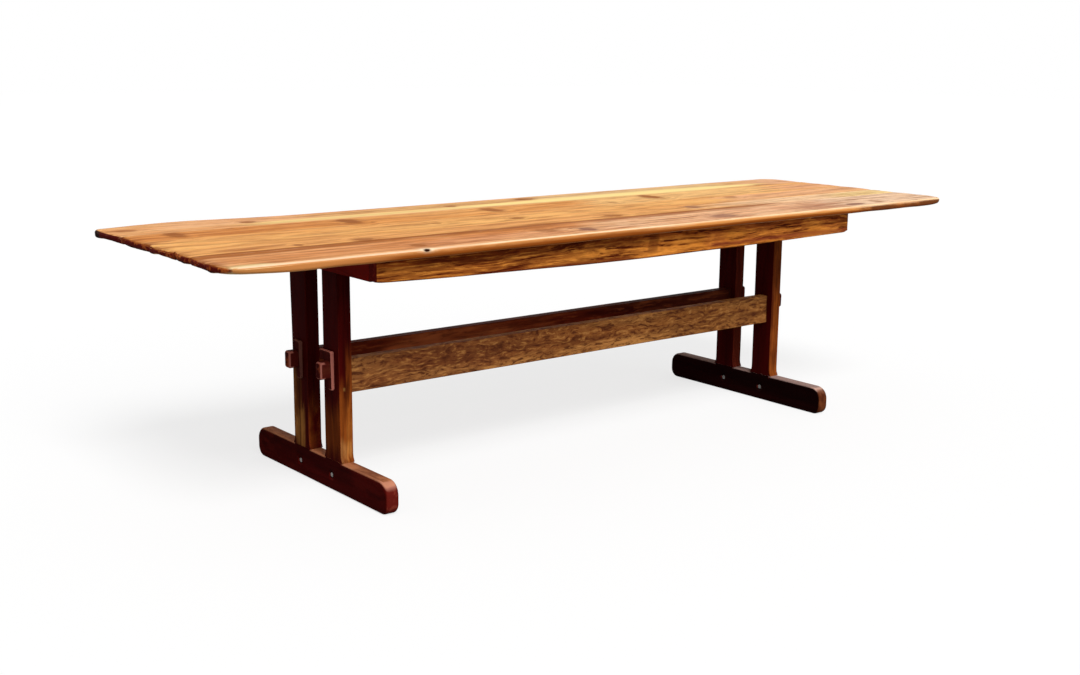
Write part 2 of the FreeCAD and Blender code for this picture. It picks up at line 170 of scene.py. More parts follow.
def on_edges(n):
    """1 on the rounded edges and slopes, which look neither along X nor Y nor Z."""
    normal = n.vector("ABSOLUTE", n.add("NewGeometry", {}).outputs["Normal"], (0, 0, 0))
    parts = n.add("SeparateXYZ", {0: normal}).outputs
    most = n.maths("MAXIMUM", n.maths("MAXIMUM", parts["X"], parts["Y"]), parts["Z"])
    return n.rise(most, 0.985, 0.90)


def region(n, patch, parts, ragged, blotches):
    """How much of a patch shows at each point.

    A patch has a strength and a colour, and may have limits on x, y and z, each with how soft
    its ends are, a side that it looks to, and marks that it lies on edges or comes in spots.
    """
    share = patch["strength"]
    for axis in "xyz":
        if axis in patch:
            low, high, soft = patch[axis]
            value = n.maths("ADD", parts[axis.upper()], n.times(ragged, 4 * soft))
            inside = n.times(n.rise(value, low - soft, low + soft),
                             n.rise(value, high + soft, high - soft))
            share = n.times(inside, share)
    if "side" in patch:
        share = n.times(facing(n, patch["side"]), share)
    if "edge" in patch:
        share = n.times(on_edges(n), share)
    if "spotty" in patch:
        share = n.times(n.rise(blotches, 0.40, 0.60), share)
    return share


# ---------------------------------------------------------------- wood and steel
GRAIN_ORDER = {"X": ("X", "Y", "Z"), "Y": ("Y", "X", "Z"), "Z": ("Z", "X", "Y")}

# the noises in the wood: the bumps to the metre along the grain and across it, the detail and,
# where it isn't 0.5, the roughness
WANDER = (1.3, 7.0, 7.0), 2.0
KNOT_RIM = (50.0, 60.0, 60.0), 3.0
RING_WOBBLE = (2.2, 16.0, 16.0), 3.0
BROAD = (1.4, 12.0, 12.0), 3.0, 0.55
STREAKS = (3.6, 46.0, 46.0), 4.0, 0.62
BLOTCHES = (6.0, 15.0, 15.0), 4.0, 0.65
FIBRES = (16.0, 620.0, 620.0), 3.0, 0.7
RAGGED = (2.5, 30.0, 30.0), 3.0
FLECK_SLOPE = (9.0, 18.0, 18.0), 2.0
END_SPOTS = (30.0, 30.0, 30.0), 3.0, 0.6
TARNISH = (160.0, 160.0, 160.0), 3.0     # and the noise on the steel

SEED_STEP = (3.1, 0.7, 1.3)     # how far apart two seeds in a row take their wood
BEND = 0.045                    # how far the grain wanders
KNOT_PUSH = -0.5                # how far it parts round a knot, as a share of the knot's reach
PITH = (0.05, -0.12)            # the rings' middle, across the grain
PITH_STRETCH = 0.012            # how little the rings taper along the grain
RINGS = 60.0                    # growth rings to the metre
RING_DRIFT = 0.05               # how far they wobble
ROUGHNESS = 0.42                # the least; the streaks add up to 0.2 to it
RELIEF = 0.002                  # how deep the grain is in the bump


def wood(name, grain, seed, light, middle, dark, end, ring_depth=0.3, streak=0.5,
         knots=(), patches=(), marks=(), gloss=0.01, bump=0.25, figure=None):
    """Wood with its grain along one axis of the frame.

    light, middle and dark are its tones, and end the two of its end grain. Each knot has a
    place, a reach along X, Y and Z, a strength and a colour. patches lie under the grain's
    streaks and marks over them. A figure is a pattern of short flecks: how many to the metre
    along and across the grain, and how strong.
    """
    n = Nodes(name)
    here = n.add("TexCoord", {}).outputs["Object"]
    parts = n.add("SeparateXYZ", {0: here}).outputs
    order = GRAIN_ORDER[grain]
    turned = n.add("CombineXYZ", {i: parts[axis] for i, axis in enumerate(order)}).outputs[0]
    shifted = n.vector("ADD", turned, [step * seed for step in SEED_STEP])

    # the grain wanders, and parts round the knots
    wander = n.maths("SUBTRACT", n.noise(shifted, *WANDER), 0.5)
    bend = n.maths("MULTIPLY", wander, BEND)
    near_knots = []
    for place, reach, strength, tone in knots:
        away = n.vector("MULTIPLY", n.vector("SUBTRACT", here, place), [1 / size for size in reach])
        far = n.maths("ADD", n.length(away), n.times(n.noise(shifted, *KNOT_RIM), 0.8))
        near_knots.append((far, strength, tone))
        side = n.add("SeparateXYZ", {0: away}).outputs["Y"]
        push = n.times(n.rise(far, 3.0, 0.9), side, min(reach[:2]) * KNOT_PUSH)
        bend = n.maths("ADD", bend, push)
    wood_place = n.vector("ADD", shifted, n.add("CombineXYZ", {"Y": bend, "Z": bend}).outputs[0])

    # growth rings, cut by the face; their middle is the same for every seed
    pith = (0.0, PITH[0] - SEED_STEP[1] * seed, PITH[1] - SEED_STEP[2] * seed)
    from_pith = n.vector("ADD", wood_place, pith)
    radius = n.length(n.vector("MULTIPLY", from_pith, (PITH_STRETCH, 1.0, 1.0)))
    wobble = n.times(n.noise(wood_place, *RING_WOBBLE), RING_DRIFT)
    turns = n.times(n.maths("ADD", radius, wobble), RINGS * 2 * math.pi)
    ring = n.maths("ADD", n.times(n.maths("SINE", turns), 0.5), 0.5)

    broad = n.noise(wood_place, *BROAD)
    streaks = n.noise(wood_place, *STREAKS)
    blotches = n.noise(shifted, *BLOTCHES)
    fibres = n.noise(wood_place, *FIBRES)
    ragged = n.maths("SUBTRACT", n.noise(shifted, *RAGGED), 0.5)

    # the tones, one over another; each pair of limits is where a noise fades a tone in
    colour = n.blend(n.rise(broad, 0.38, 0.62), light, middle)
    for patch in patches:
        colour = n.blend(region(n, patch, parts, ragged, blotches), colour, patch["colour"])
    colour = n.blend(n.times(n.rise(streaks, 0.50, 0.68), streak), colour, dark)
    colour = n.blend(n.times(n.rise(streaks, 0.46, 0.32), 0.5 * streak), colour, light)
    colour = n.blend(n.times(n.maths("POWER", ring, 2.2), ring_depth), colour, dark)
    colour = n.blend(n.times(n.rise(blotches, 0.52, 0.72), 0.4 * streak), colour, dark)
    colour = n.blend(n.times(n.rise(fibres, 0.52, 0.72), 0.22), colour, dark)
    height = n.maths("ADD", n.times(fibres, 0.35), n.times(streaks, 0.5))
    if figure:
        lengthways, across, strength = figure
        lean = n.maths("SUBTRACT", n.noise(shifted, *FLECK_SLOPE), 0.5)
        slope = n.times(lean, 0.003 * lengthways)
        slid = n.vector("ADD", wood_place, n.add("CombineXYZ", {"Y": slope, "Z": slope}).outputs[0])
        flecks = n.noise(slid, (lengthways, across, across), 5.0, 0.68)
        colour = n.blend(n.times(n.rise(flecks, 0.50, 0.62), strength), colour, dark)
        colour = n.blend(n.times(n.rise(flecks, 0.47, 0.36), 0.7 * strength), colour, light)
        height = n.maths("SUBTRACT", height, n.times(flecks, 1.5 * strength))

    # end grain, which shows where the surface turns to face along the grain
    spots = n.noise(here, *END_SPOTS)
    end_dark, end_light = end
    colour = n.blend(facing(n, grain, 0.45, 0.8), colour,
                     n.blend(n.rise(spots, 0.52, 0.66), end_dark, end_light))
    for mark in marks:
        colour = n.blend(region(n, mark, parts, ragged, blotches), colour, mark["colour"])
    for far, strength, tone in near_knots:
        colour = n.blend(n.times(n.rise(far, 2.2, 1.0), 0.45 * strength), colour, tone)
        colour = n.blend(n.times(n.rise(far, 1.5, 1.0), strength), colour, tone)

    n.feed(n.shader.inputs["Base Color"], colour)
    n.feed(n.shader.inputs["Roughness"], n.maths("ADD", n.times(streaks, 0.2), ROUGHNESS))
    n.shader.inputs["Specular IOR Level"].default_value = gloss
    relief = n.add("Bump", {"Height": height, "Strength": bump, "Distance": RELIEF})
    n.feed(n.shader.inputs["Normal"], relief.outputs[0])
    return n.material


def steel(name, colour, rough):
    """Zinc-plated steel, tarnished in patches, and with painted shade that grows towards the right
    trestle, so the left trestle's bolts stay bright as a painted glint.
    """
    n = Nodes(name)
    here = n.add("TexCoord", {}).outputs["Object"]
    patches = n.noise(here, *TARNISH)
    tarnished_and_shaded_tone = [0.45 * channel for channel in colour[:3]] + [1.0]
    # real tarnish patches, with painted shade that grows towards the right trestle, which leaves
    # the left bolts bright as a painted glint
    tarnish_and_shade = n.maths("MAXIMUM", n.rise(patches, 0.35, 0.7),
                     n.rise(n.add("SeparateXYZ", {0: here}).outputs["X"], -0.5, 0.5))
    n.feed(n.shader.inputs["Base Color"], n.blend(tarnish_and_shade, colour, tarnished_and_shaded_tone))
    n.feed(n.shader.inputs["Roughness"], n.maths("ADD", n.times(patches, 0.25), rough))
    n.shader.inputs["Metallic"].default_value = 1.0
    return n.material


# ---------------------------------------------------------------- carving
def dense(node, pitch):
    """A CAD node's own form, with its faces cut along X, Y and Z at about these distances."""
    mesh = bmesh.new()
    mesh.from_mesh(frame["nodes"][node].data)
    bmesh.ops.remove_doubles(mesh, verts=mesh.verts, dist=WELD)
    bmesh.ops.dissolve_limit(mesh, angle_limit=FLAT, verts=mesh.verts, edges=mesh.edges)
    low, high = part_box(node)
    for axis in range(3):
        size = high[axis] - low[axis]
        count = round(size / pitch[axis])
        normal = Vector((0, 0, 0))
        normal[axis] = 1
        for step in range(1, count):
            place = low + normal * (size * step / count)
            everything = mesh.verts[:] + mesh.edges[:] + mesh.faces[:]
            bmesh.ops.bisect_plane(mesh, geom=everything, dist=WELD, plane_co=place,
                                   plane_no=normal)
    mesh.normal_update()
    return mesh


def carve(node, pitch, shape, material):
    """Put a piece in a CAD node's place: the same form, worn by shape(place, normal)."""
    mesh = dense(node, pitch)
    moves = [shape(v.co.copy(), v.normal.copy()) for v in mesh.verts]
    for v, move in zip(mesh.verts, moves):
        v.co += move
    bmesh.ops.recalc_face_normals(mesh, faces=mesh.faces)
    data = bpy.data.meshes.new("worn_" + node)
    mesh.to_mesh(data)
    mesh.free()
    data.shade_smooth()
    data.set_sharp_from_angle(angle=CREASE)
    data.materials.append(material)
    piece = bpy.data.objects.new("worn_" + node, data)
    bpy.context.scene.collection.objects.link(piece)
    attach(piece, frame["nodes"][node]["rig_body"])
    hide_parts(node)


# ---------------------------------------------------------------- the top's shape
PLANKS = ("plank_front", "plank_mid_front", "plank_centre", "plank_mid_rear", "plank_rear")
plank_low, plank_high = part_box("plank_front")
TOP = plank_high.z
UNDER = plank_low.z
TOP_FRONT = plank_low.y
TOP_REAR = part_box("plank_rear")[1].y
MIDDLE = (TOP + UNDER) / 2
PLANK_PITCH = (0.016, 0.012, 0.006)

WORN_FROM = MIDDLE + 0.008                # wear from below starts here, and is full at UNDER
END_REACH = 0.05                          # how far the ends' wear reaches in
LEFT_TEAR, LEFT_TEAR_LOW = 0.002, 0.005   # how deep it is, and how much deeper from below
RIGHT_TEAR, RIGHT_TEAR_LOW = 0.001, 0.002
RIGHT_CHIP = 0.002                        # how far the right end's lower edge is chipped up
SOUND_REAR = (0.19, 0.25)                 # across these places the tears fade
LEFT_CORNER = (-1.28, -1.44)              # along these the near corners are rubbed away
RIGHT_CORNER = (1.36, 1.46)
CORNER_UP, CORNER_IN = 0.006, 0.003
RIGHT_ROUNDER = 0.012                     # how far the right near corner is cut back
RIGHT_FULLER = 0.008                      # and how far the right end swells behind it

# how far the left end's lower edge is chipped up, at places across the table
LEFT_CHIPS = (
    (-0.44, 0.0), (-0.40, 0.0025), (-0.36, 0.0), (-0.29, 0.004), (-0.22, 0.003), (-0.18, 0.0),
    (-0.15, 0.001), (-0.11, 0.003), (-0.03, 0.0075), (0.01, 0.002), (0.09, 0.0015), (0.17, 0.0),
    (0.22, 0.003), (0.30, 0.006), (0.35, 0.0055), (0.40, 0.001), (0.42, 0.0),
)


def wear_plank(index):
    """How one plank is worn: its ends torn, its outer edges wavy, its face not quite flat."""
    low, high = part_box(PLANKS[index])
    rear_plank = index == len(PLANKS) - 1

    def shape(p, normal):
        move = Vector((0, 0, 0))
        lower = smooth(WORN_FROM, UNDER, p.z)
        # both ends are torn, most on the left and from below, and least at the rear
        left = smooth(low.x + END_REACH, low.x, p.x)
        right = smooth(high.x - END_REACH, high.x, p.x)
        torn = 0.30 + 0.9 * ripple(1, p.y * 12) + 0.5 * ripple(10, p.y * 40)
        torn = (1 - 0.8 * smooth(*SOUND_REAR, p.y)) * max(0.0, min(1.0, torn))
        move.x += left * torn * (LEFT_TEAR + LEFT_TEAR_LOW * lower)
        move.x -= right * torn * (RIGHT_TEAR + RIGHT_TEAR_LOW * lower)
        move.z += lower * left * between(LEFT_CHIPS, p.y)
        move.z += lower * right * RIGHT_CHIP * torn
        # the near corners are rubbed away from below, and the right one is rounder
        near = smooth(TOP_FRONT + 0.11, TOP_FRONT + 0.01, p.y)
        corner = max(smooth(*LEFT_CORNER, p.x), smooth(*RIGHT_CORNER, p.x)) * near
        move.z += lower * corner * CORNER_UP
        move.y += lower * corner * CORNER_IN
        move.x -= right * RIGHT_ROUNDER * smooth(TOP_FRONT + 0.035, TOP_FRONT, p.y)
        behind = smooth(TOP_FRONT + 0.02, TOP_FRONT + 0.07, p.y)
        move.x += right * RIGHT_FULLER * behind * smooth(0.1, -0.1, p.y)
        # the long outer edges wander
        front = smooth(TOP_FRONT + 0.09, TOP_FRONT, p.y)
        rear = smooth(TOP_REAR - 0.13, TOP_REAR - 0.04, p.y) if rear_plank else 0.0
        drift = 0.0018 * ripple(3, p.x * 2.6) + 0.0012 * ripple(4, p.x * 13, p.z * 20)
        move.y += front * (0.0008 + drift)
        move.y -= rear * (0.001 + 1.4 * drift + 0.0015 * ripple(6, p.x * 6))
        move.z += front * lower * (1 - corner) * 0.0012 * ripple(8, p.x * 9)
        # the upper face is scraped, and sunk in places near the ends
        if normal.z > FACES:
            inner = smooth(0.0, 0.02, min(p.x - low.x, high.x - p.x))
            move.z += inner * (0.0005 * ripple(index + 20, p.x * 2.2, p.y * 14) - 0.0003)
            sunk = 0.0025 * (left + 0.5 * right) * (0.3 + ripple(index + 30, p.x * 14, p.y * 22))
            move.z -= max(0.0, (0.2 if rear_plank else 1.0) * sunk)
        return move

    return shape


# ---------------------------------------------------------------- the top's looks
KNOT = srgb(150, 84, 30)
MAUVE = srgb(132, 84, 66)
BARK = srgb(38, 14, 8)


def top_knot(x, y, length, width, strength=0.8, tone=KNOT):
    """A knot in the top's face, length along X and width along Y."""
    return ((x, y, TOP), (length, width, 0.03), strength, tone)


def strip(x, y, colour, strength=0.8, soft=0.01):
    """A strip of another colour along the table, with long soft ends."""
    return dict(x=(*x, 0.10), y=(*y, soft), strength=strength, colour=colour)


TAN = srgb(242, 177, 104)
ORANGE = srgb(228, 152, 76)
BROWN = srgb(150, 80, 34)
END_GRAIN = (srgb(96, 20, 12), srgb(188, 96, 40))
SAPWOOD = srgb(255, 228, 150)
# a painted highlight on worn wood, for the near arris's left part
WORN_HIGHLIGHT = srgb(246, 210, 172)
DEEP = srgb(166, 94, 30)
RUSSET = srgb(212, 132, 62)
PINK = srgb(246, 188, 146)
GOLD = srgb(247, 185, 108)
END_SHADE = srgb(40, 10, 8)
EDGE_LIT = srgb(196, 126, 66)
EDGE_DEEP = srgb(140, 68, 16)
BLEACHED = srgb(255, 216, 172)
SEAM = srgb(126, 62, 16)
# end-grain dark with painted shade, for the seams' edges in the gaps between plank ends
SEAM_END_TONE_AND_SHADE = srgb(88, 26, 14)
# a painted highlight for the near arris
ARRIS_HIGHLIGHT = srgb(255, 226, 186)

# the ends carry painted shade along their foot, and the last of the top's face is stained; the
# eased edges of the seams at both ends are dark as the end grain, with painted shade in the gaps
# between plank ends
end_marks = [
    dict(side="X", z=(0.70, 0.7425, 0.002), strength=0.85, colour=END_SHADE),
    dict(side="+Z", x=(-1.5, -1.438, 0.006), strength=0.55, colour=srgb(150, 86, 30), spotty=True),
    dict(side="+Z", x=(-1.5, -1.425, 0.025), y=(-0.39, 0.2, 0.01), strength=0.6,
         colour=srgb(132, 66, 28), spotty=True),
    # the seams' eased edges near both ends: end-grain dark, with painted shade in the gaps between
    # plank ends
    dict(side="Y", x=(-1.5, -1.43, 0.004), y=(-0.44, 0.5, 0.004), strength=0.95, colour=SEAM_END_TONE_AND_SHADE),
    dict(side="Y", x=(1.43, 1.5, 0.004), y=(-0.44, 0.4, 0.004), strength=0.95, colour=SEAM_END_TONE_AND_SHADE),
]
NEAR_FACE = (-0.5, -0.45, 0.002)          # limits on y that hold the whole near edge
NEAR_ARRIS = (-0.4665, -0.460, 0.0015)    # and its upper arris
# the near edge: a worn, pale left corner under a painted highlight, a face that is dark below with
# a golden band on the right, and over it a pale arris, a painted highlight on worn wood, that grows
# thin on the right
near_marks = [
    # the near-left corner: worn pale, with a painted highlight over it
    dict(side="+Z", x=(-1.5, -1.32, 0.03), y=(-0.5, -0.44, 0.006), strength=0.6,
         colour=srgb(255, 232, 178)),
    dict(side="-Y", y=NEAR_FACE, strength=0.95, colour=EDGE_LIT),
    dict(side="-Y", x=(-1.05, 1.5, 0.15), y=NEAR_FACE, z=(0.70, 0.7485, 0.004),
         strength=0.95, colour=EDGE_DEEP),
    dict(side="-Y", x=(-0.9, 0.2, 0.1), y=NEAR_FACE, z=(0.70, 0.7545, 0.004),
         strength=0.6, colour=srgb(150, 82, 30), spotty=True),
    dict(side="-Y", x=(0.1, 1.0, 0.05), y=NEAR_FACE, z=(0.7475, 0.8, 0.003),
         strength=0.6, colour=srgb(226, 150, 76)),
    dict(side="-Y", x=(1.0, 1.5, 0.05), y=NEAR_FACE, strength=0.9,
         colour=srgb(104, 54, 26), spotty=True),
    # painted highlight on the worn upper rounding of the near edge, left part
    dict(side="+Z", x=(-1.5, -0.72, 0.10), y=(-0.5, -0.456, 0.002), z=(0.7558, 0.8, 0.001),
         strength=0.8, colour=WORN_HIGHLIGHT),
    dict(side="+Z", x=(-0.72, 1.5, 0.10), y=(-0.5, -0.460, 0.0015), z=(0.7555, 0.8, 0.001),
         strength=0.85, colour=srgb(214, 142, 66)),
    # painted highlight along the near arris, fainter and partly in spots on the right
    dict(side="+Z", x=(-0.72, 0.1, 0.10), y=NEAR_ARRIS, strength=0.75, colour=ARRIS_HIGHLIGHT),
    dict(side="+Z", x=(0.1, 1.5, 0.10), y=NEAR_ARRIS, strength=0.55, colour=ARRIS_HIGHLIGHT),
    dict(side="+Z", x=(0.1, 1.5, 0.10), y=NEAR_ARRIS, strength=0.6,
         colour=srgb(255, 222, 176), spotty=True),
]
plank_looks = {
    "plank_front": dict(
        seed=1, light=srgb(246, 186, 130), middle=srgb(222, 150, 98), dark=srgb(150, 82, 40),
        streak=0.7,
        knots=(top_knot(-0.36, -0.35, 0.040, 0.035, 0.6),
               top_knot(-0.24, -0.40, 0.030, 0.035, 0.8, MAUVE),
               top_knot(-0.85, -0.39, 0.025, 0.030, 0.6),
               top_knot(0.35, -0.40, 0.060, 0.040, 0.6, MAUVE),
               top_knot(0.99, -0.42, 0.050, 0.025, 0.8, MAUVE),
               top_knot(1.13, -0.40, 0.025, 0.03, 0.5),
               # a pale ring, and in it a black knot, on the near arris
               ((-0.866, -0.464, 0.759), (0.026, 0.020, 0.008), 0.6, srgb(255, 226, 190)),
               ((-0.868, -0.467, 0.757), (0.011, 0.011, 0.005), 1.0, BARK)),
        patches=(dict(x=(0.0, 2.0, 0.35), strength=0.35, colour=srgb(240, 190, 158)),
                 dict(x=(-0.2, 1.0, 0.20), strength=0.55, colour=srgb(255, 212, 166), spotty=True),
                 dict(x=(0.93, 2.0, 0.10), strength=0.85, colour=srgb(255, 222, 186)),
                 strip((-1.5, -0.25), (-0.285, -0.20), DEEP, 0.95, 0.012),
                 strip((-0.25, 0.72), (-0.280, -0.20), DEEP, 0.7, 0.014),
                 strip((-0.90, -0.15), (-0.34, -0.27), RUSSET, 0.8, 0.02),
                 strip((-1.45, -0.85), (-0.45, -0.28), RUSSET, 0.6, 0.03),
                 strip((0.73, 0.95), (-0.46, -0.35), srgb(176, 124, 96), 0.6, 0.03),
                 # the near-left corner: worn pale, with a painted highlight over it
                 dict(x=(-1.5, -1.33, 0.02), y=(-0.5, -0.43, 0.008), strength=0.9,
                      colour=srgb(255, 226, 160))),
        marks=[strip((-1.5, 0.70), (-0.252, -0.20), SEAM, 0.5, 0.004)] + near_marks + end_marks,
    ),
    "plank_mid_front": dict(
        seed=2, light=TAN, middle=srgb(232, 163, 94), dark=BROWN,
        knots=(top_knot(0.05, -0.185, 0.045, 0.025, 0.7),
               top_knot(0.44, -0.16, 0.035, 0.03, 0.6, MAUVE),
               top_knot(-0.91, -0.205, 0.035, 0.025, 0.7),
               top_knot(-1.115, -0.20, 0.016, 0.02, 0.8)),
        patches=(dict(x=(0.55, 2.0, 0.20), strength=0.8, colour=BLEACHED),
                 strip((1.15, 1.5), (-0.25, -0.14), SAPWOOD, 0.7, 0.02),
                 strip((-1.5, 0.72), (-0.26, -0.226), DEEP, 0.85, 0.006)),
        marks=[strip((-1.5, 0.70), (-0.26, -0.235), SEAM, 0.5, 0.003)] + end_marks,
    ),
    "plank_centre": dict(
        seed=3, light=GOLD, middle=srgb(240, 172, 98), dark=BROWN,
        knots=(top_knot(-0.25, -0.065, 0.030, 0.025, 0.75),
               top_knot(-0.54, -0.03, 0.018, 0.02, 0.4),
               top_knot(0.785, -0.01, 0.030, 0.03, 0.5)),
        patches=(strip((0.70, 1.5), (-0.13, 0.03), PINK, 0.65, 0.03),),
        marks=end_marks,
    ),
    "plank_mid_rear": dict(
        seed=4, light=TAN, middle=ORANGE, dark=BROWN,
        knots=(top_knot(-1.305, 0.185, 0.028, 0.075, 0.8),
               top_knot(-0.735, 0.17, 0.032, 0.075, 0.85),
               top_knot(-0.185, 0.16, 0.030, 0.065, 0.75),
               top_knot(0.54, 0.165, 0.034, 0.070, 0.85),
               top_knot(-1.12, 0.235, 0.030, 0.03, 0.5),
               top_knot(0.30, 0.10, 0.02, 0.02, 0.4)),
        patches=(strip((-1.5, -0.80), (0.10, 0.23), RUSSET, 0.8, 0.02),
                 strip((0.20, 1.15), (0.03, 0.23), srgb(255, 206, 134), 0.8, 0.03),
                 strip((1.15, 1.5), (0.03, 0.18), PINK, 0.6, 0.03)),
        marks=end_marks,
    ),
    "plank_rear": dict(
        seed=5, light=srgb(244, 184, 122), middle=srgb(232, 162, 102), dark=BROWN,
        knots=(top_knot(-1.00, 0.325, 0.030, 0.025, 0.8),
               top_knot(-0.24, 0.32, 0.02, 0.02, 0.6),
               top_knot(0.105, 0.355, 0.045, 0.025, 0.85),
               top_knot(-1.39, 0.33, 0.035, 0.025, 0.5),
               top_knot(1.22, 0.235, 0.05, 0.03, 0.4)),
        patches=(strip((-1.3, -0.75), (0.30, 0.45), srgb(250, 194, 146), 0.5, 0.02),
                 strip((1.22, 1.5), (0.22, 0.45), srgb(240, 190, 152), 0.6, 0.02),
                 strip((-0.8, 1.2), (0.31, 0.375), srgb(214, 168, 104), 0.7, 0.015),
                 strip((0.10, 1.1), (0.30, 0.42), srgb(242, 206, 150), 0.6, 0.02)),
        marks=[strip((-1.02, 0.0), (0.248, 0.305), SAPWOOD, 0.6, 0.008),
               strip((-0.2, 1.22), (0.245, 0.305), SAPWOOD, 0.85, 0.008),
               strip((0.05, 1.1), (0.23, 0.33), SAPWOOD, 0.6, 0.012),
               *end_marks,
               dict(side="X", x=(-1.5, 0.0, 0.01), strength=0.9, colour=srgb(74, 10, 8)),
               dict(side="X", x=(-1.5, 0.0, 0.01), y=(0.375, 0.5, 0.008), strength=0.9,
                    colour=srgb(26, 12, 8))],
    ),
}

for index, node in enumerate(PLANKS):
    look = wood("wood_" + node, "X", end=END_GRAIN, figure=(7.0, 30.0, 0.28), **plank_looks[node])
    carve(node, PLANK_PITCH, wear_plank(index), look)


# ---------------------------------------------------------------- the other pieces' shapes
FOOT_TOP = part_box("foot_left")[1].z
FLARE, FLARE_REACH = 0.007, 0.026         # how far a post's faces sweep out, and from how high
KNOCKED, KNOCKED_REACH = 0.005, 0.022     # how far an apron's lower corners are knocked up
KNOCKED_BELOW = (0.68, 0.66)              # between these heights that begins


def wear_stick(seed, depth, along):
    """Small unevenness of a planed and knocked-about piece; along is its long axis."""
    stretch = [4.0 if axis == along else 30.0 for axis in range(3)]    # bumps to the metre

    def shape(p, normal):
        big = ripple(seed, *(p[axis] * stretch[axis] * 0.4 for axis in range(3)))
        small = ripple(seed + 50, *(p[axis] * stretch[axis] * 1.6 for axis in range(3)))
        return normal * depth * (0.7 * big + 0.3 * small - 0.15)

    return shape


def with_hollow(shape, axis, side, place, reach, depth):
    """A shape with a hollow along Z in one side of the piece; depth below 0 is a swelling."""
    def hollowed(p, normal):
        move = shape(p, normal)
        if normal[axis] * side > FACES:
            move[axis] -= side * depth * smooth(reach, 0.0, abs(p.z - place))
        return move

    return hollowed


def with_flare(shape):
    """A post's shape with its front and rear faces swept out to meet the foot."""
    def flared(p, normal):
        move = shape(p, normal)
        if abs(normal.y) > FACES and p.z > FOOT_TOP - 0.001:
            spread = smooth(FOOT_TOP + FLARE_REACH, FOOT_TOP, p.z)
            move.y += math.copysign(FLARE * spread * spread, normal.y)
        return move

    return flared


def wear_apron(node, seed):
    """A rough rail, with its lower corners knocked round."""
    low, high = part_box(node)
    rough = wear_stick(seed, 0.0018, 0)

    def shape(p, normal):
        move = rough(p, normal)
        ended = smooth(KNOCKED_REACH, 0.0, min(p.x - low.x, high.x - p.x))
        move.z += KNOCKED * ended * ended * smooth(*KNOCKED_BELOW, p.z)
        return move

    return shape


# ---------------------------------------------------------------- aprons and bearers
MAROON_END = (srgb(96, 18, 14), srgb(128, 40, 26))
apron_wood = wood(
    "wood_apron", "X", seed=7, light=srgb(242, 156, 64), middle=srgb(194, 108, 40),
    dark=srgb(80, 26, 8), end=MAROON_END, figure=(5.5, 125.0, 1.0), bump=0.6,
    patches=(dict(spotty=True, strength=0.4, colour=srgb(128, 56, 20)),
             strip((-1.1, -0.35), (-0.5, 0.5), srgb(128, 58, 22), 0.6),
             strip((0.15, 0.80), (-0.5, 0.5), srgb(222, 136, 50), 0.55),
             dict(x=(0.91, 1.0, 0.02), strength=0.6, colour=srgb(110, 44, 14)),
             # painted shade under the top's overhang, along the apron's upper band
             dict(z=(0.712, 0.76, 0.006), strength=0.6, colour=srgb(140, 54, 14)),
             dict(x=(0.25, 0.95, 0.02), strength=0.5, colour=srgb(176, 90, 44), spotty=True)),
    # painted shade along the apron's lower arris, which turns away from the light
    marks=(dict(side="-Y", z=(0.6, 0.6585, 0.002), strength=0.6, colour=srgb(92, 38, 16)),
           # painted shade under the top's overhang, in spots, on the apron's left half
           dict(side="-Y", x=(-0.95, 0.0, 0.05), z=(0.703, 0.76, 0.004), strength=0.55,
                colour=srgb(84, 28, 12), spotty=True),
           dict(side="-Y", x=(-0.7, -0.06, 0.03), z=(0.6, 0.667, 0.003), strength=0.75,
                colour=srgb(92, 26, 14)),
           dict(side="-Y", x=(-0.005, 0.035, 0.006), z=(0.678, 0.76, 0.01), strength=0.6,
                colour=srgb(112, 54, 22)),
           dict(side="-Y", x=(0.27, 0.95, 0.02), z=(0.665, 0.679, 0.004), strength=0.65,
                colour=srgb(132, 60, 34))),
)
for seed, node in enumerate(("apron_front", "apron_rear"), 2):
    carve(node, (0.012, 0.010, 0.009), wear_apron(node, seed), apron_wood)

bearer_wood = wood("wood_bearer", "Y", seed=8, light=srgb(124, 24, 16), middle=srgb(104, 14, 10),
                   dark=srgb(60, 6, 5), end=MAROON_END, ring_depth=0.2)
for node in ("bearer_left", "bearer_right"):
    carve(node, (0.014, 0.018, 0.014), wear_stick(4, 0.0008, 1), bearer_wood)

# ---------------------------------------------------------------- posts
MAROON = srgb(74, 9, 7)
MAROON_DEEP = srgb(44, 4, 4)
EMBER = srgb(142, 72, 24)
STRAW = srgb(190, 128, 64)
# a rose painted highlight for lit arrises and faces
ROSE_HIGHLIGHT = srgb(184, 112, 98)

